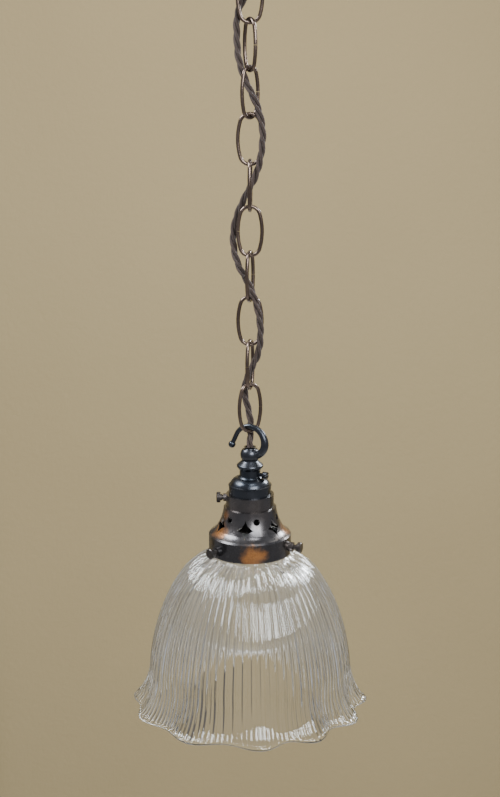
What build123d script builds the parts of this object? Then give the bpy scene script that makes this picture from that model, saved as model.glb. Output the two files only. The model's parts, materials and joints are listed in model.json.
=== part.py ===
"""Pendant ceiling light: a ceiling rose with a hook, an eleven-link chain with a twisted
flex laced through it, and a turned bayonet lampholder that carries a pierced gallery and
a glass shade.

Millimetres. The origin is the middle of the rose's mounting face, which lies on the
ceiling, with +Z up and +X to the right of a viewer who looks along +Y.
"""

import os
from math import atan2, cos, degrees, hypot, pi, radians, sin, tan

from build123d import *

# Chain
link_length = 38.05  # outside length of one link
link_width = 20.0
link_wire = 2.7
link_crown = 7.2  # centreline radius of the two ends
link_seam = 0.35  # butt gap in one side of each bent link
seat_play = 0.05  # gap left between two hanging surfaces
# turn of each link about the vertical, from the ceiling down; its seam is at +X before the turn
link_turns = (88, 0, 296, 50, 0, 267, 180, 75, 3, 256, 26)

# Ceiling rose
cover_radius = 48.0
cover_depth = 26.0
cover_wall = 1.2
cover_rim = 3.0
ceiling_gap = 0.4
backplate_radius = 34.0
backplate_thick = 3.0
backplate_boss = 6.0
boss_radius = 7.0
cable_way = (20.0, 11.0)  # hole for the house wiring
cable_way_y = 20.0
fixing_spacing = 51.0
fixing_radius = 2.2
fixing_slot = 9.0
shank_radius = 3.0
hook_wire = 3.6
hook_radius = 8.0  # centreline radius of the ceiling hook
hook_shoulder = 65.0  # angle where the hook's bow leaves the shank
hook_wrap = 200.0  # how far the bow goes on past the horizontal
hook_seat = -50.8  # height of the hook's wire under the chain
nut_radius = 6.5
nut_height = 3.6
nut_flutes = 16

# Terminal block inside the rose
block_poles = (-14.0, 0.0, 14.0)
block_y = -18.0
block_width = 13.0
block_base = 4.0
block_low = -15.0
block_bore_level = -11.0
sleeve_radius = 2.15
sleeve_bore = 1.4

# Flex
flex_radius = 2.6
core_radius = 1.2
flex_exit_x = 17.0
bush_rim = 7.0
bend_share = 0.45  # share of the shorter run that each bend takes
# route of the flex from the rose down to the lampholder
flex_route = (
    (17.0, 0.0, -22.5),
    (17.0, 0.0, -33.5),
    (14.4, -1.8, -45.0),
    (10.4, -4.0, -58.0),
    (7.0, -5.8, -74.0),
    (4.6, -4.2, -86.5),
    (-1.2, 0.2, -95.0),
    (-6.6, 4.2, -103.0),
    (-9.4, 5.4, -113.0),
    (-9.4, 4.2, -123.5),
    (-8.4, 2.0, -140.8),
    (-2.6, 0.4, -156.8),
    (5.6, -3.4, -172.6),
    (9.4, -5.8, -188.9),
    (8.2, -5.4, -205.2),
    (4.4, -3.2, -221.5),
    (-4.0, 2.8, -237.2),
    (-11.2, 6.0, -254.1),
    (-12.6, 4.8, -270.4),
    (-9.0, 1.4, -285.5),
    (-0.7, -2.7, -298.4),
    (5.2, -5.5, -313.4),
    (8.2, -5.8, -332.0),
    (6.4, -3.6, -350.5),
    (-0.8, 1.2, -365.0),
    (-4.6, 6.2, -378.0),
    (-2.4, 7.0, -390.0),
    (0.4, 6.8, -400.5),
    (0.2, 5.6, -409.3),
    (0.0, 0.0, -419.5),
    (0.0, 0.0, -429.5),
)

# Lampholder, with heights measured up from the top of the gallery's neck
seat_rise = 49.5  # from there to the wire of the last link
cap_radius = 15.7
cap_wall = 1.4
cap_low = -9.5
skirt_top = 7.4
dome_top = 14.3
cap_inside = 12.4  # ceiling of the hollow in the cap
neck_radius = 7.7
bead_low = 18.8
bead_high = 25.8
bead_radius = 9.85
collar_radius = 7.1
mouth_top = 36.3
mouth_radius = 4.6
bore_radius = 3.4  # way for the flex down the turned stack
lamp_hook_turn = -27.0
lamp_hook_radius = 12.2
lamp_hook_root = 2.9
lamp_hook_crown = 2.05
lamp_hook_tip = 1.7
lamp_hook_arc = 155.0  # turn of the bow before it runs out straight to the tip
lamp_hook_run = 8.6
lamp_hook_ball = 2.7
grip_screw_level = 15.7
grip_screw_turn = -25.0
barrel_radius = 14.2
barrel_seat = 12.9
bayonet_radius = 11.2
bayonet_wall = 1.4
bayonet_low = -27.0
bayonet_shoulder = -12.0
bayonet_high = -9.7  # top of the bore that takes the lamp's cap
bayonet_relief = 12.0  # inside radius above it, round the contacts
bayonet_slot_turn = 26.0
bayonet_slot_level = -21.6  # where the lamp's pins turn
bayonet_slot_width = 2.5
shoulder_level = -5.0
block_high = 4.0  # top of the contact block
pole_spots = ((-5.0, 0.0), (5.0, 0.0), (0.0, -8.8))
plunger_radius = 1.6
plunger_flange = 2.15
plunger_tip = -9.5
plunger_ledge = -2.5  # level of the ledge that the flange rests on
post_width = 4.6
post_screw_level = 6.6

# Gallery
gallery_neck = 17.8
gallery_bore = 15.9
gallery_step = -9.3
gallery_wall = 1.2
band_radius = 30.8
band_low = -44.7
star_height = 15.6  # measured down the slope of the body
star_width = 12.8
star_waist = 0.35  # how far out the hollow sides of a star reach, 0.5 being straight sides
star_level = -21.6
star_radius = 23.0  # of the body at that level
star_slope = 26.6  # of the body there, from the upright
star_turn = -99.0  # direction of the first star
hole_level = -16.2
hole_turn = 22.5  # from each star to the hole beside it
hole_radius = 2.35

# Thumbscrews
stud_radius = 1.75
stud_play = 0.04
screw_gap = 0.05  # left between a tightened screw and what it grips
head_radius = 4.0
head_thick = 3.0
band_screw_level = -38.4
band_screw_turns = (-18, 102, 222)
neck_screw_level = -2.9
neck_screw_turn = 180
band_screw_end = 40.4  # distance of the outer face of the head from the axis
neck_screw_end = 25.0

# Glass shade
glass_wall = 3.2
lip_radius = 28.4
lip_top = -32.6
groove_radius = 26.8
glass_bore = 23.8
# outside of the bell, as radius and height
bell = ((30.6, -46.2), (52.0, -62.2), (61.0, -76.7), (68.4, -94.2), (73.1, -110.7))
bell += ((76.4, -138.0), (79.8, -152.0), (87.6, -165.0))

os.makedirs("parts", exist_ok=True)

# Places worked out from the driving dimensions
link_inside = link_length / 2 - link_wire  # middle of a link to its inner crown
link_pitch = 2 * link_inside - seat_play
link_count = len(link_turns)
top_link_z = hook_seat + hook_wire / 2 + seat_play - link_inside
link_heights = [top_link_z - i * link_pitch for i in range(link_count)]
wire_drop = (link_length - link_wire) / 2
pivot_heights = [hook_seat] + [z - wire_drop for z in link_heights]
lamp_seat = link_heights[-1] - link_inside
lamp_z = lamp_seat - seat_rise
cover_low = -cover_depth
hollow_up = (Align.CENTER, Align.CENTER, Align.MIN)
hollow_down = (Align.CENTER, Align.CENTER, Align.MAX)


def save(shape, name):
    shape.label = name
    export_step(shape, f"parts/{name}.step")


def save_lamp(shape, name):
    """Save a piece of the lampholder, drawn with the top of the gallery's neck at zero."""
    save(Pos(0, 0, lamp_z) * shape, name)


def rod(radius, low, high, x=0.0, y=0.0):
    """Upright rod."""
    return Pos(x, y, low) * Cylinder(radius, high - low, align=hollow_up)


def ring(outer, inner, low, high):
    """Upright ring about the Z axis."""
    return rod(outer, low, high) - rod(inner, low - 1, high + 1)


def spoke(radius, near, far):
    """Rod along +X."""
    return Pos(near, 0, 0) * Rot(0, 90, 0) * Cylinder(radius, far - near, align=hollow_up)


def turned(start, *steps):
    """Solid turned about Z: each step is a corner, or a point on an arc with the arc's end."""
    edges = []
    here = start
    for step in (*steps, start):
        if isinstance(step[0], tuple):
            edges.append(ThreePointArc(here, step[0], step[1]))
            here = step[1]
        else:
            edges.append(Line(here, step))
            here = step
    return revolve(Plane.XZ * Face(Wire(edges)), Axis.Z)


def round_bar(edges, radius):
    """Round bar along edges drawn in the XZ plane."""
    path = Plane.XZ * Wire(edges)
    section = Plane(origin=path @ 0, z_dir=path % 0) * Circle(radius)
    return sweep(section, path=path)


# Ceiling rose


def rose_backplate():
    """Steel disc screwed to the ceiling, with a threaded boss for the hook."""
    plate = rod(backplate_radius, -backplate_thick, 0)
    plate += rod(boss_radius, -backplate_thick - backplate_boss, -backplate_thick)
    plate -= rod(shank_radius, -20, -1)
    slot = extrude(SlotOverall(fixing_slot, 2 * fixing_radius), 20, both=True)
    for side in (-1, 1):
        plate -= Pos(side * fixing_spacing / 2, 0, 0) * slot
    return plate - Pos(0, cable_way_y, 0) * extrude(Rectangle(*cable_way), 20, both=True)


def rose_cover():
    """Spun cover: a shallow dome over a short upright rim."""
    top = -ceiling_gap
    foot = top - cover_rim
    flat = 25.0
    inset = 2.5
    outside = cover_radius - inset
    inside = outside - cover_wall
    floor = cover_low + cover_wall
    cover = turned(
        (0, top),
        (cover_radius, top),
        (cover_radius, foot),
        (outside, foot),
        ((outside - 7.0, -18.6), (flat, cover_low)),
        (0, cover_low),
    )
    cover -= turned(
        (0, top + 1),
        (inside, top + 1),
        (inside, foot),
        ((inside - 7.0, -17.6), (flat - 1, floor)),
        (0, floor),
    )
    cover -= rod(shank_radius + 0.2, cover_low - 1, cover_low + 3)
    return cover - rod(bush_rim - 2, cover_low - 1, cover_low + 3, flex_exit_x)


def ceiling_hook():
    """Threaded shank that ends in an open hook, bent from one bar."""
    turn = radians(hook_shoulder)
    bend_radius = hook_radius * cos(turn) / (1 - cos(turn))
    bow_start = hook_seat + hook_radius + hook_radius * sin(turn)
    bend_start = bow_start + bend_radius * sin(turn)
    bend = JernArc((0, bend_start), (0, -1), bend_radius, hook_shoulder)
    bow = JernArc(bend @ 1, bend % 1, hook_radius, -(hook_shoulder + hook_wrap))
    tip = bow @ 1
    hook = rod(shank_radius, bend_start, -1)
    hook += round_bar([bend, bow], hook_wire / 2)
    return hook + Pos(tip.X, 0, tip.Y) * Sphere(hook_wire / 2 + 0.5)


def cover_nut():
    """Fluted round nut on the shank that holds the cover up."""
    low = cover_low - nut_height
    nut = ring(nut_radius, shank_radius, low, cover_low)
    for i in range(nut_flutes):
        flute = rod(0.8, low - 1, cover_low + 1, nut_radius + 0.4)
        nut -= Rot(0, 0, i * 360 / nut_flutes) * flute
    return nut


def flex_bush():
    """Grommet in the cover that the flex leaves through."""
    way = flex_radius
    bush = ring(bush_rim, way, cover_low - 1.8, cover_low)
    bush += ring(bush_rim - 2, way, cover_low, cover_low + cover_wall)
    bush += ring(bush_rim - 0.4, way, cover_low + cover_wall, cover_low + cover_wall + 1.6)
    return Pos(flex_exit_x, 0, 0) * bush


def terminal_block():
    """Three-pole insulated block under the backplate."""
    top = -backplate_thick
    base = Box(40, block_width, block_base, align=hollow_down)
    block = Pos(0, block_y, top) * base
    pillar = Box(9, block_width, top - block_base - block_low, align=hollow_down)
    for x in block_poles:
        block += Pos(x, block_y, top - block_base) * pillar
        block -= Pos(x, block_y, block_bore_level) * Rot(90, 0, 0) * Cylinder(sleeve_radius, 20)
        block -= rod(1.3, block_low - 1, block_bore_level, x, block_y)
    return block


def block_sleeves():
    """Brass sleeve in each pole."""
    sleeves = []
    for x in block_poles:
        sleeve = Cylinder(sleeve_radius, block_width - 2) - Cylinder(sleeve_bore, 20)
        sleeve = Pos(x, block_y, block_bore_level) * Rot(90, 0, 0) * sleeve
        sleeves.append(sleeve - rod(1.2, block_low, block_bore_level, x, block_y))
    return Compound(children=sleeves)


def block_screws():
    """Clamp screw in each pole."""
    screws = []
    for x in block_poles:
        screw = rod(1.15, block_low + 0.6, block_bore_level - 0.2, x, block_y)
        screws.append(screw - Pos(x, block_y, block_low + 0.6) * Box(3.0, 0.5, 1.0))
    return Compound(children=screws)


# Chain


def chain_link():
    """Oval of round wire in the XZ plane: two crown arcs and two long side arcs, tangent."""
    half_width = (link_width - link_wire) / 2
    rise = wire_drop - link_crown
    # the side's radius R meets (R - half_width)^2 + rise^2 = (R - link_crown)^2
    side = (half_width**2 + rise**2 - link_crown**2) / (2 * (half_width - link_crown))
    side_turn = degrees(atan2(rise, side - half_width))
    seam_turn = degrees(link_seam / 2 / side)
    here = (half_width, link_seam / 2)
    heading = (-sin(radians(seam_turn)), cos(radians(seam_turn)))
    edges = []
    for radius, turn in (
        (side, side_turn - seam_turn),
        (link_crown, 180 - 2 * side_turn),
        (side, 2 * side_turn),
        (link_crown, 180 - 2 * side_turn),
        (side, side_turn - seam_turn),
    ):
        arc = JernArc(here, heading, radius, turn)
        edges.append(arc)
        here = arc @ 1
        heading = arc % 1
    return round_bar(edges, link_wire / 2)


# Flex


def bend_radii(points):
    """Largest even bend at each inner point, from the shorter run and half the turn."""
    radii = []
    for before, here, after in zip(points, points[1:], points[2:]):
        run_in = here - before
        run_out = after - here
        half_turn = radians(run_in.get_angle(run_out)) / 2
        radii.append(bend_share * min(run_in.length, run_out.length) / tan(half_turn))
    return radii


def flex_spans():
    """Flex cut into one span per link, in the run nearest to each pivot."""
    points = [Vector(*p) for p in flex_route]
    middles = [(a + b) / 2 for a, b in zip(points, points[1:])]
    radii = bend_radii(points)
    print("flex bend radii:", [round(r, 1) for r in radii])
    runs = range(1, len(middles) - 1)
    cuts = [min(runs, key=lambda i: abs(middles[i].Z - z)) for z in pivot_heights]
    starts = [0] + [i + 1 for i in cuts]
    ends = [i + 1 for i in cuts] + [len(points)]
    spans = []
    length = 0
    for n, (first, last) in enumerate(zip(starts, ends)):
        inner = points[first:last]
        route = list(inner)
        if n > 0:
            route = [middles[first - 1]] + route
        if n < len(cuts):
            route = route + [middles[last - 1]]
        bends = radii[first - 1 : last - 1] if n > 0 else radii[first : last - 1]
        if n == len(cuts):
            bends = bends[: len(route) - 2]
        path = FilletPolyline(*route, radius=bends)
        section = Plane(origin=path @ 0, z_dir=path % 0) * Circle(flex_radius)
        span = sweep(section, path=path)
        length += path.length
        spans.append(span)
        share = span.volume / (pi * flex_radius**2 * path.length)
        print("span", n + 1, "volume / section x length:", round(share, 4))
    print("flex length:", round(length, 1))
    return spans


# Lampholder


def lamp_hook():
    """Hook that tapers round to a ball tip, in one piece with a round collar."""
    crown_z = seat_rise + lamp_hook_crown + seat_play
    middle = crown_z - lamp_hook_radius
    root = JernArc((lamp_hook_radius, middle), (0, -1), 9.5, -75)
    bow = JernArc((lamp_hook_radius, middle), (0, 1), lamp_hook_radius, lamp_hook_arc)
    tip = bow @ 1 + (bow % 1) * lamp_hook_run
    root_path = Plane.XZ * Wire([root])
    bow_path = Plane.XZ * Wire([bow, Line(bow @ 1, tip)])
    crown = lamp_hook_radius * pi / 2 / bow_path.length
    start = Plane(origin=root_path @ 0, z_dir=root_path % 0)
    hook = sweep(start * Circle(lamp_hook_root), path=root_path)
    sections = []
    for place, radius in ((0, lamp_hook_root), (crown, lamp_hook_crown), (1, lamp_hook_tip)):
        frame = Plane(origin=bow_path @ place, x_dir=(0, 1, 0), z_dir=bow_path % place)
        sections.append((frame * Circle(radius)).face())
    hook += sweep(sections, path=bow_path, multisection=True)
    hook += Pos(tip.X - 0.3, 0, tip.Y - 0.6) * Sphere(lamp_hook_ball)
    collar = turned(
        (0, bead_high),
        (6.0, bead_high),
        (6.0, 26.6),
        ((collar_radius, 31.0), (5.6, 34.4)),
        ((3.9, 35.0), (mouth_radius, mouth_top)),
        (0, mouth_top),
    )
    collar = Rot(0, 0, lamp_hook_turn) * (hook + collar)
    return collar - rod(bore_radius, bead_high - 1, mouth_top + 1)


def stack_bead():
    """Turned bead nut between the hook and the cap."""
    middle = (bead_low + bead_high) / 2
    bead = turned(
        (0, bead_low),
        (8.0, bead_low),
        (bead_radius - 0.7, bead_low + 1.6),
        ((bead_radius, middle - 0.3), (bead_radius - 0.9, middle + 0.9)),
        (7.0, bead_high - 0.9),
        (6.0, bead_high),
        (0, bead_high),
    )
    return bead - rod(bore_radius, bead_low - 1, bead_high + 1)


def holder_cap():
    """Domed brass cap: neck, dome, and a skirt threaded inside for the barrel."""
    cap = turned(
        (0, cap_low),
        (cap_radius, cap_low),
        (cap_radius, skirt_top - 1.2),
        (cap_radius + 0.35, skirt_top - 0.9),
        (cap_radius + 0.35, skirt_top - 0.2),
        (15.0, skirt_top + 0.2),
        ((12.6, 11.4), (9.2, dome_top - 1.2)),
        (8.6, dome_top - 0.6),
        (neck_radius, dome_top),
        (neck_radius, bead_low),
        (0, bead_low),
    )
    inside = cap_radius - cap_wall
    cap -= turned(
        (0, cap_low - 1),
        (inside, cap_low - 1),
        (inside, skirt_top - 1),
        ((11.6, 10.0), (7.6, cap_inside)),
        (0, cap_inside),
    )
    cap -= rod(5.2, 10, bead_low + 1)
    return cap - Rot(0, 0, grip_screw_turn) * Pos(0, 0, grip_screw_level) * spoke(1.25, 4, 12)


def cord_grip():
    """Insulating bush in the cap's neck, clamped on the flex by the locking screw."""
    return ring(5.2, flex_radius, cap_inside, bead_low)


def grip_screw():
    """Small locking screw across the cap's neck."""
    screw = spoke(1.25, 5.3, 10.6)
    screw += spoke(2.5, 10.6, 14.2)
    screw -= Pos(14.2, 0, 0) * Box(1.6, 6.0, 0.7)
    return Rot(0, 0, grip_screw_turn) * Pos(0, 0, grip_screw_level) * screw


def holder_barrel():
    """Barrel threaded into the cap, with two bayonet slots round its mouth."""
    outer = bayonet_radius + bayonet_wall
    barrel = ring(barrel_radius, barrel_seat, shoulder_level, block_high)
    barrel += ring(barrel_radius, bayonet_relief, bayonet_high, shoulder_level)
    barrel += ring(barrel_radius, bayonet_radius, bayonet_shoulder, bayonet_high)
    barrel += ring(outer, bayonet_radius, bayonet_low, bayonet_shoulder)
    leg = Box(6.0, bayonet_slot_width, 6.6, align=hollow_up)
    arm_face = Plane.XZ * Pos(bayonet_radius + 1, bayonet_slot_level)
    arm_face *= Rectangle(6.0, bayonet_slot_width)
    arm = revolve(arm_face, Axis.Z, bayonet_slot_turn)
    notch = Box(6.0, bayonet_slot_width, 3.6, align=hollow_up)
    for turn in (0, 180):
        slot = Pos(bayonet_radius + 1, 0, bayonet_low - 0.5) * leg
        slot += arm
        rest = Pos(bayonet_radius + 1, 0, bayonet_slot_level - 2.35) * notch
        slot += Rot(0, 0, bayonet_slot_turn) * rest
        barrel -= Rot(0, 0, turn) * slot
    return barrel


def contact_block():
    """Moulded block that holds the plungers and the terminal posts."""
    block = rod(barrel_seat, shoulder_level, block_high)
    for x, y in pole_spots[:2]:
        block -= rod(plunger_radius + 0.05, shoulder_level - 1, -1, x, y)
        block -= rod(plunger_flange + 0.1, plunger_ledge, block_high + 1, x, y)
    return block


def contact_plunger(x, y):
    """Sprung brass contact with a flange that keeps it in the block."""
    pin = rod(plunger_radius, plunger_tip, plunger_ledge, x, y)
    return pin + rod(plunger_flange, plunger_ledge, plunger_ledge + 1, x, y)


def plunger_spring(x, y):
    """Coil spring over the contact, as a sleeve of its outer size."""
    return Pos(x, y, 0) * ring(2.0, 1.4, plunger_ledge + 1, block_high)


def terminal_posts():
    """Brass post on each pole, bored from above for its core."""
    posts = []
    for x, y in pole_spots:
        post = Pos(x, y, block_high) * Box(post_width, post_width, 5.0, align=hollow_up)
        post -= rod(core_radius, block_high + 1.5, 12, x, y)
        screw_way = Rot(90, 0, 0) * Cylinder(0.9, 2.4, align=hollow_up)
        posts.append(post - Pos(x, y, post_screw_level) * screw_way)
    return Compound(children=posts)


def terminal_screws():
    """Clamp screw in the side of each post."""
    screws = []
    for x, y in pole_spots:
        shank = Cylinder(0.9, 1.1, align=hollow_up)
        head = Pos(0, 0, 1.1) * Cylinder(1.5, 0.9, align=hollow_up)
        screw = Rot(90, 0, 0) * (shank + head)
        screws.append(Pos(x, y - 1.2, post_screw_level) * screw)
    return Compound(children=screws)


def holder_core(x, y):
    """Insulated core from the end of the flex to its post."""
    turn = degrees(atan2(y, x))
    far = hypot(x, y)
    start = (1.75, cap_inside)
    path = FilletPolyline(start, (1.75, 10.6), (far, 10.2), (far, 5.6), radius=[1.3, 1.6])
    core = sweep(Plane(origin=path @ 0, z_dir=path % 0) * Circle(core_radius), path=path)
    return Rot(0, 0, turn) * Rot(90, 0, 0) * core


# Gallery and thumbscrews


def gallery():
    """Pierced shell: neck, flared body and the band that grips the glass."""
    body_low = -30.9
    wall = gallery_wall
    shell = turned(
        (0, 0),
        (gallery_neck, 0),
        (gallery_neck, gallery_step),
        (19.6, gallery_step - 0.5),
        ((21.5, -18.4), (25.2, -25.8)),
        ((27.3, -28.0), (29.8, -29.6)),
        (band_radius, body_low),
        (band_radius, band_low),
        (0, band_low),
    )
    shell -= turned(
        (0, 1),
        (gallery_bore, 1),
        (gallery_bore, gallery_step - 0.6),
        (18.2, gallery_step - 1.4),
        ((20.2, -18.9), (23.9, -26.4)),
        ((26.3, -29.0), (28.8, -30.6)),
        (band_radius - wall, body_low - 1),
        (band_radius - wall, band_low - 1),
        (0, band_low - 1),
    )
    star = star_cutter()
    for i in range(6):
        shell -= Rot(0, 0, star_turn + i * 60) * star
        place = Rot(0, 0, star_turn + hole_turn + i * 60) * Pos(0, 0, hole_level)
        shell -= place * spoke(hole_radius, 12, 32)
    way = stud_radius + stud_play
    for turn in band_screw_turns:
        shell += Rot(0, 0, turn) * Pos(0, 0, band_screw_level) * spoke(3.6, band_radius - 0.6, 34.0)
        shell -= Rot(0, 0, turn) * Pos(0, 0, band_screw_level) * spoke(way, 27, 36)
    place = Rot(0, 0, neck_screw_turn) * Pos(0, 0, neck_screw_level)
    shell += place * spoke(2.9, gallery_neck - 0.6, 19.9)
    return shell - place * spoke(way, 14, 21)


def star_cutter():
    """Four-pointed star with hollow sides, cut square to the slope of the body at +X."""
    tips = [(star_width / 2, 0), (0, star_height / 2), (-star_width / 2, 0), (0, -star_height / 2)]
    edges = []
    for here, there in zip(tips, tips[1:] + tips[:1]):
        inner = ((here[0] + there[0]) * star_waist, (here[1] + there[1]) * star_waist)
        edges.append(ThreePointArc(here, inner, there))
    star = extrude(Plane.YZ * Face(Wire(edges)), 5, both=True)
    return Pos(star_radius, 0, star_level) * Rot(0, -star_slope, 0) * star


def thumb_stud(turn, level, tip, end):
    """Threaded stud of a thumbscrew."""
    return Rot(0, 0, turn) * Pos(0, 0, level) * spoke(stud_radius, tip, end - 0.9)


def thumb_head(turn, level, end):
    """Round head of a thumbscrew, with a narrow neck behind it."""
    head = spoke(head_radius, end - head_thick, end)
    head += spoke(2.4, end - head_thick - 1.4, end - head_thick)
    head = chamfer(head.edges().sort_by(Axis.X)[-1], 0.5)
    head -= spoke(stud_radius + stud_play, end - 8, end - 0.8)
    return Rot(0, 0, turn) * Pos(0, 0, level) * head


# Glass shade


def glass_shade():
    """Bell of pressed glass with a fitter lip at the top and a flared rim."""
    outer = [Vector(r, z) for r, z in bell]
    inner = []
    for i, here in enumerate(outer):
        ahead = outer[min(i + 1, len(outer) - 1)] - outer[max(i - 1, 0)]
        normal = Vector(ahead.Y, -ahead.X).normalized()
        inner.append(here + normal * glass_wall)
    edges = [
        Line((glass_bore, lip_top), (lip_radius, lip_top)),
        Line((lip_radius, lip_top), (lip_radius, lip_top - 2.6)),
        Line((lip_radius, lip_top - 2.6), (groove_radius, lip_top - 3.8)),
        Line((groove_radius, lip_top - 3.8), (groove_radius, lip_top - 10.4)),
        Line((groove_radius, lip_top - 10.4), bell[0]),
        Spline(outer),
        Line(outer[-1], inner[-1]),
        Spline(inner),
        Line(inner[0], (glass_bore, lip_top - 11.0)),
        Line((glass_bore, lip_top - 11.0), (glass_bore, lip_top)),
    ]
    return revolve(Plane.XZ * Face(Wire(edges)), Axis.Z)


save(rose_backplate(), "rose_backplate")
save(rose_cover(), "rose_cover")
save(ceiling_hook(), "ceiling_hook")
save(cover_nut(), "cover_nut")
save(flex_bush(), "flex_bush")
save(terminal_block(), "terminal_block")
save(block_sleeves(), "block_sleeves")
save(block_screws(), "block_screws")

link = chain_link()
for i, (height, turn) in enumerate(zip(link_heights, link_turns)):
    save(Pos(0, 0, height) * Rot(0, 0, turn) * link, f"chain_link_{i + 1:02d}")
for i, span in enumerate(flex_spans()):
    save(span, f"flex_span_{i + 1:02d}")
save(rod(flex_radius, lamp_z + cap_inside, flex_route[-1][2]), "flex_tail")

save_lamp(lamp_hook(), "lamp_hook")
save_lamp(stack_bead(), "stack_bead")
save_lamp(holder_cap(), "holder_cap")
save_lamp(cord_grip(), "cord_grip")
save_lamp(grip_screw(), "grip_screw")
save_lamp(holder_barrel(), "holder_barrel")
save_lamp(contact_block(), "contact_block")
for name, spot in zip(("live", "neutral"), pole_spots):
    save_lamp(contact_plunger(*spot), f"plunger_{name}")
    save_lamp(plunger_spring(*spot), f"spring_{name}")
for name, spot in zip(("live", "neutral", "earth"), pole_spots):
    save_lamp(holder_core(*spot), f"core_{name}")
save_lamp(terminal_posts(), "terminal_posts")
save_lamp(terminal_screws(), "terminal_screws")
save_lamp(gallery(), "gallery")
neck_stud = thumb_stud(neck_screw_turn, neck_screw_level, cap_radius + screw_gap, neck_screw_end)
save_lamp(neck_stud, "neck_screw_stud")
save_lamp(thumb_head(neck_screw_turn, neck_screw_level, neck_screw_end), "neck_screw_head")
for i, turn in enumerate(band_screw_turns):
    stud = thumb_stud(turn, band_screw_level, groove_radius + screw_gap, band_screw_end)
    save_lamp(stud, f"band_screw_{i + 1}_stud")
    save_lamp(thumb_head(turn, band_screw_level, band_screw_end), f"band_screw_{i + 1}_head")
save_lamp(glass_shade(), "glass_shade")
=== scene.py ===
"""Looks of the pendant ceiling light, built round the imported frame. All lengths are metres."""

import json
from math import radians, tau

import bpy
import numpy as np
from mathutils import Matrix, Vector


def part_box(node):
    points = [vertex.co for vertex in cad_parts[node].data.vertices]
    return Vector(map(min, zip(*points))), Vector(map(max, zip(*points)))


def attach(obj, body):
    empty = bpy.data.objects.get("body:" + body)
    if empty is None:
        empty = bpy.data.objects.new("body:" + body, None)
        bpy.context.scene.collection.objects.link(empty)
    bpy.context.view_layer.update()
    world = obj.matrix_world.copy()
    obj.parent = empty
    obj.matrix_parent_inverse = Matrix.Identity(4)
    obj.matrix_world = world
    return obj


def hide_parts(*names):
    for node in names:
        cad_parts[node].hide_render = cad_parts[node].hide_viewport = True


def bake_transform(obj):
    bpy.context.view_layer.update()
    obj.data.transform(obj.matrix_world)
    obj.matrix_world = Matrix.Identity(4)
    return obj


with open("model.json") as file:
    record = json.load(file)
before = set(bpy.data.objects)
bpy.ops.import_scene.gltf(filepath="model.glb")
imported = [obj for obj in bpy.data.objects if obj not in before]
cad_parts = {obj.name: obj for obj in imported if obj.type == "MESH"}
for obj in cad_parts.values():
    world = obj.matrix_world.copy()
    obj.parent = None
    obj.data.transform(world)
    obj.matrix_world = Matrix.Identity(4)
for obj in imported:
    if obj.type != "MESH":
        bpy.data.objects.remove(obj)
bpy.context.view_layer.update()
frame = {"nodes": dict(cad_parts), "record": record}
nodes = frame["nodes"]
MM = 0.001

# ------------------------------------------------------------------ camera and studio

VIEW_HEIGHT = -0.100  # of the lens, below the ceiling
VIEW_DISTANCE = 1.140
VIEW_DOWN = 14.0
LENS = 72.3
FLOOR = -2.4
WALL = 2.6
WALL_TOP = 1.6
ROOM = 6.0  # half the width of the floor and the wall
PAINTED_SHADE_STRIP = (-1.4, -0.66)  # sides of the strip of painted shade in front of the wall
DAYLIGHT = (0.88, 0.94, 1.0)


def aim(thing, place, target):
    """Put a light at a place so that it looks at the target."""
    thing.location = place
    thing.rotation_euler = (Vector(target) - Vector(place)).to_track_quat("-Z", "Y").to_euler()


def add_camera():
    """Level with the top of the chain, in front, tipped down."""
    data = bpy.data.cameras.new("camera")
    data.lens = LENS
    data.sensor_width = 36.0
    data.clip_start = 0.01
    camera = bpy.data.objects.new("camera", data)
    bpy.context.scene.collection.objects.link(camera)
    camera.location = (0, -VIEW_DISTANCE, VIEW_HEIGHT)
    camera.rotation_euler = (radians(90 - VIEW_DOWN), 0, 0)
    bpy.context.scene.camera = camera


def add_light(name, place, target, size, power, colour):
    """Soft rectangular light that faces its target."""
    data = bpy.data.lights.new(name, "AREA")
    data.shape = "RECTANGLE"
    data.size, data.size_y = size
    data.energy = power
    data.color = colour
    light = bpy.data.objects.new(name, data)
    bpy.context.scene.collection.objects.link(light)
    aim(light, place, target)


# ------------------------------------------------------------------ node helpers


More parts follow.
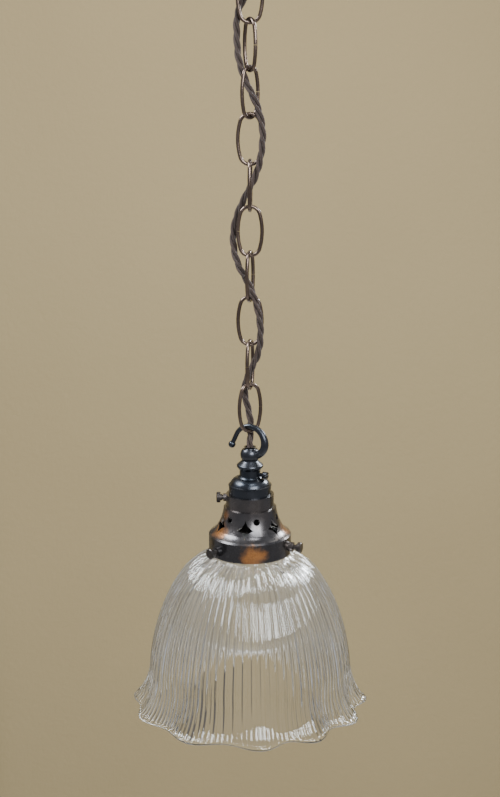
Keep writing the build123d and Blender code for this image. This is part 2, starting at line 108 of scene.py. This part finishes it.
class Graph:
    """One material's node tree, with a short call for each kind of node that it uses."""

    def __init__(self, name):
        self.material = bpy.data.materials.new(name)
        self.material.use_nodes = True
        self.tree = self.material.node_tree
        self.shader = self.tree.nodes["Principled BSDF"]
        self.place = self.add("ShaderNodeTexCoord").outputs["Object"]

    def add(self, kind, inputs=None, **settings):
        node = self.tree.nodes.new(kind)
        for key, value in settings.items():
            setattr(node, key, value)
        for key, value in (inputs or {}).items():
            self.put(value, node.inputs[key])
        return node

    def put(self, value, socket):
        if isinstance(value, bpy.types.NodeSocket):
            self.tree.links.new(value, socket)
        elif isinstance(value, tuple) and len(value) == 3 and socket.type == "RGBA":
            socket.default_value = (*value, 1.0)
        else:
            socket.default_value = value

    def noise(self, scale, detail=3.0, roughness=0.5, stretch=(1, 1, 1), distortion=0.0):
        mapping = self.add("ShaderNodeMapping", {"Vector": self.place, "Scale": stretch})
        inputs = {"Vector": mapping.outputs[0], "Scale": scale, "Detail": detail}
        inputs.update({"Roughness": roughness, "Distortion": distortion})
        return self.add("ShaderNodeTexNoise", inputs).outputs["Fac"]

    def math(self, operation, a, b=0.0):
        return self.add("ShaderNodeMath", {0: a, 1: b}, operation=operation).outputs[0]

    def ramp(self, factor, low, high, start=0.0, end=1.0):
        inputs = {"Value": factor, "From Min": low, "From Max": high}
        inputs.update({"To Min": start, "To Max": end})
        return self.add("ShaderNodeMapRange", inputs, interpolation_type="SMOOTHSTEP").outputs[0]

    def mix(self, factor, a, b):
        node = self.add("ShaderNodeMix", data_type="RGBA")
        self.put(factor, node.inputs["Factor"])
        self.put(a, node.inputs["A"])
        self.put(b, node.inputs["B"])
        return node.outputs["Result"]

    def bump(self, height, distance, strength=1.0):
        inputs = {"Height": height, "Distance": distance, "Strength": strength}
        return self.add("ShaderNodeBump", inputs).outputs[0]

    def finish(self, **sockets):
        for key, value in sockets.items():
            self.put(value, self.shader.inputs[key.replace("_", " ")])
        return self.material


def antique_metal(
    name,
    dark,
    warm,
    worn,
    worn_share,
    rough,
    patch_scale=60.0,
    bare=(),
    grain=1.0,
    painted_shade_inside=False,
):
    """Patinated brass: two tones of patina, rubbed patches of the metal below, fine scratches.

    bare lists places (x, y, z, reach) where the metal below shows most. grain scales the
    speckle and the depth of the scratches. The last flag is for a shell turned about Z: where it
    faces its axis it is painted near black, painted shade for the unlit inside of the shell.
    """
    g = Graph(name)
    tone = g.ramp(g.noise(patch_scale * 0.7, 4.0), 0.38, 0.62)
    colour = g.mix(tone, dark, warm)
    patches = g.noise(patch_scale, 5.0, 0.6, distortion=0.6)
    rubbed = g.ramp(patches, 0.66 - worn_share, 0.86 - worn_share)
    for x, y, z, reach in bare:
        distance = g.add("ShaderNodeVectorMath", {0: g.place, 1: (x, y, z)}, operation="DISTANCE")
        away = distance.outputs["Value"]
        ragged = g.math("MULTIPLY", g.math("SUBTRACT", patches, 0.5), reach * 4)
        near = g.ramp(g.math("ADD", away, ragged), reach * 1.3, reach * 0.3)
        rubbed = g.math("MAXIMUM", rubbed, near)
    colour = g.mix(rubbed, colour, worn)
    speckle = g.ramp(g.noise(1500.0, 2.0), 0.55, 0.75)
    colour = g.mix(g.math("MULTIPLY", speckle, 0.35 * grain), colour, dark)
    scratches = g.noise(900.0, 3.0, stretch=(1, 1, 5))
    gloss = g.ramp(g.noise(180.0, 4.0), 0.3, 0.7, rough[0], rough[1])
    gloss = g.math("ADD", gloss, g.math("MULTIPLY", g.math("SUBTRACT", scratches, 0.5), 0.12))
    height = g.math("ADD", g.math("MULTIPLY", scratches, 0.35), g.noise(420.0, 4.0))
    normal = g.bump(height, 0.00004 * grain, 0.45)
    # painted shade: faces of the shell that look towards its axis are mixed to near black for the
    # shade inside it
    if painted_shade_inside:
        facing = g.add("ShaderNodeTexCoord").outputs["Normal"]
        from_axis = g.add("ShaderNodeVectorMath", {0: g.place, 1: (1, 1, 0)}, operation="MULTIPLY")
        inputs = {0: from_axis.outputs["Vector"], 1: facing}
        outward = g.add("ShaderNodeVectorMath", inputs, operation="DOT_PRODUCT").outputs["Value"]
        inside = g.ramp(outward, -0.001, -0.004)
        colour = g.mix(inside, colour, (0.010, 0.009, 0.009))
        gloss = g.math("ADD", gloss, g.math("MULTIPLY", inside, 0.3))
    g.shader.inputs["Coat Weight"].default_value = 0.3
    g.shader.inputs["Coat Roughness"].default_value = 0.22
    return g.finish(Base_Color=colour, Metallic=0.9, Roughness=gloss, Normal=normal)


def plain_metal(name, colour, other, rough):
    """Bare metal with turning lines and slight staining."""
    g = Graph(name)
    stain = g.ramp(g.noise(120.0, 5.0), 0.35, 0.7)
    lines = g.noise(2500.0, 2.0, stretch=(0.1, 0.1, 1))
    gloss = g.ramp(lines, 0.3, 0.7, rough - 0.08, rough + 0.08)
    normal = g.bump(lines, 0.00002, 0.4)
    colour = g.mix(stain, colour, other)
    return g.finish(Base_Color=colour, Metallic=1.0, Roughness=gloss, Normal=normal)


def moulded(name, colour, other, rough):
    """Moulded plastic or porcelain with a faint mottle and grain."""
    g = Graph(name)
    mottle = g.noise(90.0, 4.0)
    grain = g.noise(3000.0, 2.0)
    gloss = g.ramp(grain, 0.3, 0.7, rough - 0.06, rough + 0.06)
    normal = g.bump(grain, 0.00003, 0.4)
    return g.finish(Base_Color=g.mix(mottle, colour, other), Roughness=gloss, Normal=normal)


def braid(name, painted_hollow_shade, light):
    """Braided textile sleeve: yarns cross in diamonds on each core (UV in turns and mm)."""
    g = Graph(name)
    uv = g.add("ShaderNodeTexCoord").outputs["UV"]
    split = g.add("ShaderNodeSeparateXYZ", {"Vector": uv})
    around = g.math("MULTIPLY", split.outputs["X"], 6.0)
    along = g.math("MULTIPLY", split.outputs["Y"], 1.15)
    one = g.math("SINE", g.math("MULTIPLY", g.math("ADD", around, along), tau))
    two = g.math("SINE", g.math("MULTIPLY", g.math("SUBTRACT", around, along), tau))
    weave = g.math("MULTIPLY", one, two)
    yarn = g.math("MAXIMUM", g.math("ABSOLUTE", one), g.math("ABSOLUTE", two))
    height = g.math("ADD", g.math("MULTIPLY", weave, 0.5), yarn)
    fuzz = g.noise(4000.0, 2.0)
    # painted shade: the colour runs from the dark hollows between yarns to the yarn colour on
    # their tops
    shade = g.ramp(g.math("ADD", height, g.math("MULTIPLY", fuzz, 0.5)), 0.4, 1.7)
    colour = g.mix(shade, painted_hollow_shade, light)
    fade = g.ramp(g.noise(70.0, 3.0), 0.35, 0.75, 0.0, 0.35)
    colour = g.mix(fade, colour, light)
    normal = g.bump(g.math("ADD", height, g.math("MULTIPLY", fuzz, 0.4)), 0.00014, 0.8)
    g.shader.inputs["Sheen Weight"].default_value = 0.08
    g.shader.inputs["Sheen Roughness"].default_value = 0.5
    g.shader.inputs["Specular IOR Level"].default_value = 0.3
    return g.finish(Base_Color=colour, Roughness=0.66, Normal=normal)


def clear_glass(name):
    """Pressed clear glass: a faint cast, fire-polished skin with slight waviness."""
    g = Graph(name)
    waves = g.noise(60.0, 3.0)
    normal = g.bump(waves, 0.0004, 0.2)
    tint = g.mix(g.noise(25.0, 2.0), (0.985, 0.985, 0.98), (0.965, 0.975, 0.97))
    gloss = g.ramp(g.noise(200.0, 3.0), 0.4, 0.8, 0.0, 0.05)
    g.shader.inputs["Transmission Weight"].default_value = 1.0
    g.shader.inputs["IOR"].default_value = 1.5
    return g.finish(Base_Color=tint, Roughness=gloss, Normal=normal)


# places on the gallery that are rubbed to copper, as x, y, z and reach
BAND_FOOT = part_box("gallery")[0].z
COPPER_PLACES = (
    (0.001, -0.031, BAND_FOOT + 0.007, 0.009),
    (-0.026, -0.012, BAND_FOOT + 0.020, 0.010),
    (-0.020, -0.010, BAND_FOOT + 0.032, 0.006),
    (0.029, -0.002, BAND_FOOT + 0.020, 0.006),
    (0.020, 0.022, BAND_FOOT + 0.012, 0.012),
)
MATERIALS = {
    "dark_bronze": antique_metal(
        "dark_bronze",
        dark=(0.022, 0.020, 0.019),
        warm=(0.050, 0.040, 0.034),
        worn=(0.20, 0.13, 0.09),
        worn_share=0.04,
        rough=(0.26, 0.42),
    ),
    "blued_bronze": antique_metal(
        "blued_bronze",
        dark=(0.017, 0.021, 0.028),
        warm=(0.032, 0.033, 0.038),
        worn=(0.16, 0.13, 0.11),
        worn_share=0.02,
        rough=(0.24, 0.38),
    ),
    "chain_bronze": antique_metal(
        "chain_bronze",
        dark=(0.085, 0.056, 0.040),
        warm=(0.120, 0.082, 0.060),
        worn=(0.30, 0.23, 0.16),
        worn_share=0.02,
        rough=(0.20, 0.30),
        grain=0.4,
    ),
    "copper_bronze": antique_metal(
        "copper_bronze",
        dark=(0.050, 0.046, 0.046),
        warm=(0.092, 0.076, 0.068),
        worn=(0.52, 0.215, 0.065),
        worn_share=-0.06,
        rough=(0.20, 0.34),
        patch_scale=34.0,
        bare=COPPER_PLACES,
        # painted shade: the inside of the gallery is painted near black
        painted_shade_inside=True,
    ),
    "bare_brass": plain_metal("bare_brass", (0.66, 0.44, 0.17), (0.46, 0.29, 0.12), 0.30),
    "zinc_steel": plain_metal("zinc_steel", (0.52, 0.52, 0.50), (0.40, 0.39, 0.36), 0.34),
    "spring_steel": plain_metal("spring_steel", (0.55, 0.55, 0.55), (0.42, 0.42, 0.42), 0.28),
    "black_plastic": moulded("black_plastic", (0.018, 0.018, 0.018), (0.030, 0.028, 0.026), 0.45),
    "pale_plastic": moulded("pale_plastic", (0.72, 0.69, 0.61), (0.62, 0.59, 0.52), 0.42),
    # first colour: painted shade in the hollows of the braid; second: the yarn's own colour
    "braided_flex": braid("braided_flex", (0.010, 0.0055, 0.004), (0.058, 0.034, 0.024)),
    "clear_glass": clear_glass("clear_glass"),
}
MATERIALS["core_insulation"] = MATERIALS["braided_flex"]


def dress_nodes():
    """Every CAD node that stays in view takes the material of its slot."""
    slots = {s["node"]: s["material_slot"] for s in frame["record"]["subparts"]}
    for name, obj in nodes.items():
        obj.data.materials.clear()
        obj.data.materials.append(MATERIALS[slots[name]])
    return slots


slots = dress_nodes()

# ------------------------------------------------------------------ mesh helpers


def new_piece(name, vertices, faces, node, body=None, uv=None):
    """A smooth mesh that stands for a CAD node, takes its slot and rides with a body."""
    mesh = bpy.data.meshes.new(name)
    mesh.from_pydata([tuple(v) for v in vertices], [], faces)
    mesh.shade_smooth()
    obj = bpy.data.objects.new(name, mesh)
    bpy.context.scene.collection.objects.link(obj)
    if uv is not None:
        layer = mesh.uv_layers.new(name="braid")
        index = np.empty(len(mesh.loops), dtype=np.int32)
        mesh.loops.foreach_get("vertex_index", index)
        layer.data.foreach_set("uv", np.asarray(uv, dtype=np.float32)[index].ravel())
    mesh.materials.append(MATERIALS[slots[node]])
    if body is not None:
        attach(obj, body)
    return obj


def grid_faces(rows, columns, close_rows=False):
    """Quads over rows of points, each row running round."""
    faces = []
    for i in range(rows if close_rows else rows - 1):
        a, b = i * columns, ((i + 1) % rows) * columns
        for j in range(columns):
            k = (j + 1) % columns
            faces.append((a + j, a + k, b + k, b + j))
    return faces


# ------------------------------------------------------------------ flex

CORE_RADIUS = 0.00114
CORE_OFFSET = 0.00146
CORE_SIDES = 14
LAY = -0.032  # length of one full twist of the three cores, negative for a left-hand twist
STEP = 0.0006  # between the rings of each core
FLEX_ROUTE = (
    (0.0170, 0.0, -0.0225),
    (0.0170, 0.0, -0.0335),
    (0.0144, -0.0018, -0.0450),
    (0.0104, -0.0040, -0.0580),
    (0.0070, -0.0058, -0.0740),
    (0.0046, -0.0042, -0.0865),
    (-0.0012, 0.0002, -0.0950),
    (-0.0066, 0.0042, -0.1030),
    (-0.0094, 0.0054, -0.1130),
    (-0.0094, 0.0042, -0.1235),
    (-0.0084, 0.0020, -0.1408),
    (-0.0026, 0.0004, -0.1568),
    (0.0056, -0.0034, -0.1726),
    (0.0094, -0.0058, -0.1889),
    (0.0082, -0.0054, -0.2052),
    (0.0044, -0.0032, -0.2215),
    (-0.0040, 0.0028, -0.2372),
    (-0.0112, 0.0060, -0.2541),
    (-0.0126, 0.0048, -0.2704),
    (-0.0090, 0.0014, -0.2855),
    (-0.0007, -0.0027, -0.2984),
    (0.0052, -0.0055, -0.3134),
    (0.0082, -0.0058, -0.3320),
    (0.0064, -0.0036, -0.3505),
    (-0.0008, 0.0012, -0.3650),
    (-0.0046, 0.0062, -0.3780),
    (-0.0024, 0.0070, -0.3900),
    (0.0004, 0.0068, -0.4005),
    (0.0002, 0.0056, -0.4093),
    (0.0, 0.0, -0.4195),
    (0.0, 0.0, -0.4295),
)


def smooth_line(route):
    """Points along the NURBS line that has the route as its control points."""
    data = bpy.data.curves.new("flex_line", "CURVE")
    data.dimensions = "3D"
    data.resolution_u = 20
    spline = data.splines.new("NURBS")
    spline.points.add(len(route) - 1)
    for point, place in zip(spline.points, route):
        point.co = (*place, 1.0)
    spline.order_u = 3
    spline.use_endpoint_u = True
    line = bpy.data.objects.new("flex_line", data)
    bpy.context.scene.collection.objects.link(line)
    mesh = bpy.data.meshes.new_from_object(line)
    points = np.array([v.co for v in mesh.vertices])
    bpy.data.objects.remove(line)
    bpy.data.meshes.remove(mesh)
    return points


def even_line(points, step):
    """Points at an even step along a line, and how far along each is."""
    lengths = np.linalg.norm(np.diff(points, axis=0), axis=1)
    along = np.concatenate([[0], np.cumsum(lengths)])
    count = int(round(along[-1] / step)) + 1
    at = np.linspace(0, along[-1], count)
    return np.stack([np.interp(at, along, points[:, k]) for k in range(3)], axis=1), at


def side_frames(points):
    """Two unit vectors across the line at each point, carried along without twist."""
    tangents = np.gradient(points, axis=0)
    tangents /= np.linalg.norm(tangents, axis=1)[:, None]
    side = np.cross(tangents[0], (0, 1, 0))
    side /= np.linalg.norm(side)
    sides = []
    for tangent in tangents:
        side = side - tangent * (side @ tangent)
        side /= np.linalg.norm(side)
        sides.append(side)
    sides = np.array(sides)
    return sides, np.cross(tangents, sides)


def tube(points, radius, segments):
    """Vertices, faces and UVs (turns, millimetres) of a capped tube along a line."""
    sides, ups = side_frames(points)
    angles = np.linspace(0, tau, segments, endpoint=False)
    across = np.cos(angles)[None, :, None] * sides[:, None]
    ring = across + np.sin(angles)[None, :, None] * ups[:, None]
    vertices = (points[:, None] + radius * ring).reshape(-1, 3)
    faces = grid_faces(len(points), segments)
    faces.append(tuple(range(segments)))
    last = (len(points) - 1) * segments
    faces.append(tuple(range(last + segments - 1, last - 1, -1)))
    lengths = np.linalg.norm(np.diff(points, axis=0), axis=1)
    along = np.concatenate([[0], np.cumsum(lengths)]) / MM
    uv = [(2 * abs(j / segments - 0.5), s) for s in along for j in range(segments)]
    return vertices, faces, uv


def build_flex():
    """Three braided cores twisted together, one piece across each pivot of the chain."""
    line, along = even_line(smooth_line(FLEX_ROUTE), STEP)
    sides, ups = side_frames(line)
    cores = []
    for k in range(3):
        turn = tau * (along / LAY + k / 3)
        out = np.cos(turn)[:, None] * sides + np.sin(turn)[:, None] * ups
        cores.append(line + CORE_OFFSET * out)
    chain = sorted(n for n in nodes if n.startswith("chain_link"))
    middles = [(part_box(n)[0].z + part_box(n)[1].z) / 2 for n in chain]
    cuts = [0] + [int(np.argmin(abs(line[:, 2] - z))) for z in middles] + [len(line) - 1]
    for i, (first, last) in enumerate(zip(cuts, cuts[1:])):
        vertices, faces, uv = [], [], []
        for core in cores:
            part = core[first : last + 1]
            core_vertices, core_faces, core_uv = tube(part, CORE_RADIUS, CORE_SIDES)
            faces += [tuple(k + len(vertices) for k in face) for face in core_faces]
            vertices += list(core_vertices)
            uv += [(a, b + along[first] / MM) for a, b in core_uv]
        spans = [f"flex_span_{i + 1:02d}"]
        if i == len(cuts) - 2:
            spans.append(f"flex_span_{i + 2:02d}")
        piece = new_piece(f"flex_{i + 1:02d}", vertices, faces, spans[0], uv=uv)
        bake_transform(piece)
        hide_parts(*spans)


build_flex()

# ------------------------------------------------------------------ glass shade

# directions of the crests of the hand-crimped ruffle, in degrees from +X
CRESTS = (-157, -121, -84, -56, -28, 0, 28, 56, 84, 112, 144, 176)
DEEP_TURN = radians(-40)  # side where the ruffle is deepest
REEDS = 144  # fine reeds round the bell, six to each flute at the neck
REED_SAMPLES = 8
FINE_DEPTH = 0.00070
DOUBLE_DEPTH = 0.00105  # of the swell over each pair of reeds
FLUTE_DEPTH = 0.0028
GLASS = 0.0032
RUFFLE = 0.0060
BAND_GAP = 0.0015  # from the foot of the band down to the start of the bell
BELL_ROWS = 88
NECK_BORE = 0.0238  # radius inside the fitter lip
NECK_DEPTH = 0.011
RIM_SHARE = 0.973  # of the bell's CAD height that its line fills, the rolled edge being the rest
# section of the fitter lip from its bore outwards, as radius and depth below its top
LIP = (
    (NECK_BORE, 0.0),
    (0.0276, 0.0),
    (0.0284, 0.0007),
    (0.0284, 0.0024),
    (0.0268, 0.0038),
    (0.0268, 0.0100),
)
# section of the rolled edge, as offsets in halves of the wall and in walls past its end
EDGE = ((0.75, 0.27), (0.35, 0.43), (-0.35, 0.43), (-0.75, 0.27))
# outside of the bell, as radius and height below the band
BELL = (
    (0.0306, 0.0),
    (0.0425, -0.0068),
    (0.0520, -0.0160),
    (0.0610, -0.0305),
    (0.0684, -0.0480),
    (0.0731, -0.0645),
    (0.0758, -0.0800),
    (0.0772, -0.0930),
    (0.0800, -0.1030),
    (0.0846, -0.1115),
    (0.0893, -0.1165),
)


def spline_through(points, count):
    """Even points on a smooth line through the given ones."""
    points = np.array(points)
    padded = np.vstack([2 * points[0] - points[1], points, 2 * points[-1] - points[-2]])
    out = []
    for i in range(len(points) - 1):
        a, b, c, d = padded[i : i + 4]
        for t in np.linspace(0, 1, 24, endpoint=False):
            slope = (c - a) * t
            bend = (2 * a - 5 * b + 4 * c - d) * t**2
            twist = (3 * b - a - 3 * c + d) * t**3
            out.append(0.5 * (2 * b + slope + bend + twist))
    out.append(points[-1])
    out = np.array(out)
    lengths = np.concatenate([[0], np.cumsum(np.linalg.norm(np.diff(out, axis=0), axis=1))])
    at = np.linspace(0, lengths[-1], count)
    return np.stack([np.interp(at, lengths, out[:, k]) for k in range(2)], axis=1)


def build_shade():
    """Bell of pressed glass: fine reeds, flutes that fade from the neck, and a ruffled rim."""
    low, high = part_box("glass_shade")
    bell_top = BAND_FOOT - BAND_GAP
    bell = spline_through(BELL, BELL_ROWS)
    bell[:, 1] *= (bell_top - low.z) / -BELL[-1][1] * RIM_SHARE
    bell[:, 1] += bell_top
    tangents = np.gradient(bell, axis=0)
    tangents /= np.linalg.norm(tangents, axis=1)[:, None]
    inner = bell + np.stack([tangents[:, 1], -tangents[:, 0]], axis=1) * GLASS
    count = REEDS * REED_SAMPLES
    turn = np.linspace(0, tau, count, endpoint=False)
    keys = [CRESTS[-1] - 360, *CRESTS, CRESTS[0] + 360]
    round_turn = (np.degrees(turn) + 180) % 360 - 180
    dip = (1 - np.cos(tau * np.interp(round_turn, keys, range(len(keys))))) / 2
    dip *= 1 + 0.3 * np.cos(turn - DEEP_TURN)
    fine = np.abs(np.cos(REEDS / 2 * turn)) - 1
    double = np.abs(np.cos(REEDS / 4 * turn)) - 1
    flute = np.abs(np.cos(REEDS / 12 * turn)) - 1
    share = np.linspace(0, 1, len(bell))
    flare = np.clip((share - 0.70) / 0.30, 0, 1) ** 1.6
    start = np.clip(share / 0.03, 0, 1)
    fine_depth = FINE_DEPTH * start * np.clip(0.45 + share, 0, 1)
    double_depth = DOUBLE_DEPTH * start * np.clip(1.15 - share, 0.25, 1)
    flute_depth = FLUTE_DEPTH * start * np.clip(1 - share * 3.2, 0, 1)

    def ring(radius, height, ruffle=0.0, reeds=0.0):
        """One row of points round the bell; the ruffle's troughs also rise a little."""
        r = radius - RUFFLE * ruffle * dip + reeds
        z = height + 0.0010 * ruffle * dip
        return np.stack([r * np.cos(turn), r * np.sin(turn), z + 0 * turn], axis=1)

    rings = [ring(r, high.z - drop) for r, drop in LIP]
    for i, (r, z) in enumerate(bell):
        reeds = fine_depth[i] * fine + double_depth[i] * double + flute_depth[i] * flute
        rings.append(ring(r, z, flare[i], reeds))
    edge = (bell[-1] + inner[-1]) / 2
    for side, out in EDGE:
        place = edge + (bell[-1] - edge) * side + tangents[-1] * GLASS * out
        rings.append(ring(place[0], place[1], 1))
    for i in range(len(inner) - 1, -1, -2):
        rings.append(ring(inner[i][0], inner[i][1], flare[i], 0.5 * fine_depth[i] * fine))
    rings.append(ring(NECK_BORE, high.z - NECK_DEPTH))
    faces = [tuple(reversed(face)) for face in grid_faces(len(rings), count, close_rows=True)]
    shade = new_piece("shade_glass", np.concatenate(rings), faces, "glass_shade", "lamp")
    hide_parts("glass_shade")


build_shade()

# ------------------------------------------------------------------ studio


def add_panel(graph, corners):
    """A flat quad that takes the graph's material and its name."""
    mesh = bpy.data.meshes.new(graph.material.name)
    mesh.from_pydata(corners, [], [(0, 1, 2, 3)])
    mesh.materials.append(graph.material)
    panel = bpy.data.objects.new(graph.material.name, mesh)
    bpy.context.scene.collection.objects.link(panel)


def upright(left, right, y):
    """Corners of a panel that stands on the floor and faces the camera."""
    return [(left, y, FLOOR), (right, y, FLOOR), (right, y, WALL_TOP), (left, y, WALL_TOP)]


def add_studio():
    """Pale floor, plain wall, a painted shade strip that gives the glass its streaks, and lights.
    """
    floor = Graph("studio_floor")
    tone = floor.mix(floor.noise(2.0), (0.80, 0.78, 0.74), (0.76, 0.74, 0.70))
    floor.finish(Base_Color=tone, Roughness=0.8)
    corners = ((-ROOM, -ROOM), (ROOM, -ROOM), (ROOM, ROOM), (-ROOM, ROOM))
    add_panel(floor, [(x, y, FLOOR) for x, y in corners])
    wall = Graph("studio_wall")
    grain = wall.noise(60.0, 5.0, 0.6)
    tone = wall.mix(wall.noise(1.5), (0.30, 0.235, 0.120), (0.26, 0.200, 0.100))
    wall.finish(Base_Color=tone, Roughness=0.85, Normal=wall.bump(grain, 0.004, 0.4))
    add_panel(wall, upright(-ROOM, ROOM, WALL))
    # painted shade: a dark sheet standing for an unlit part of the room, which the glass shows as
    # dark streaks
    strip = Graph("studio_painted_shade")
    tone = strip.mix(strip.noise(3.0), (0.074, 0.061, 0.048), (0.058, 0.048, 0.038))
    strip.finish(Base_Color=tone, Roughness=0.9)
    add_panel(strip, upright(*PAINTED_SHADE_STRIP, WALL - 0.02))
    middle = (0, 0, -0.55)
    add_light("window_front", (0.72, -1.55, 0.48), middle, (1.2, 0.9), 66.0, DAYLIGHT)
    add_light("window_high", (0.30, -0.70, 1.29), middle, (0.5, 0.3), 12.0, DAYLIGHT)
    add_light("window_left", (-1.10, -0.05, 0.75), middle, (0.80, 0.70), 56.0, DAYLIGHT)
    add_light("window_right", (1.35, 1.10, 0.42), middle, (0.55, 0.55), 44.0, DAYLIGHT)
    add_light("wall_wash", (0.0, 0.6, 0.6), (0, WALL, -0.9), (2.5, 0.5), 52.0, (1.0, 0.96, 0.88))
    world = bpy.data.worlds.new("studio")
    bpy.context.scene.world = world
    world.use_nodes = True
    world.node_tree.nodes["Background"].inputs["Color"].default_value = (0.86, 0.90, 1.0, 1.0)
    world.node_tree.nodes["Background"].inputs["Strength"].default_value = 0.5


add_studio()
add_camera()
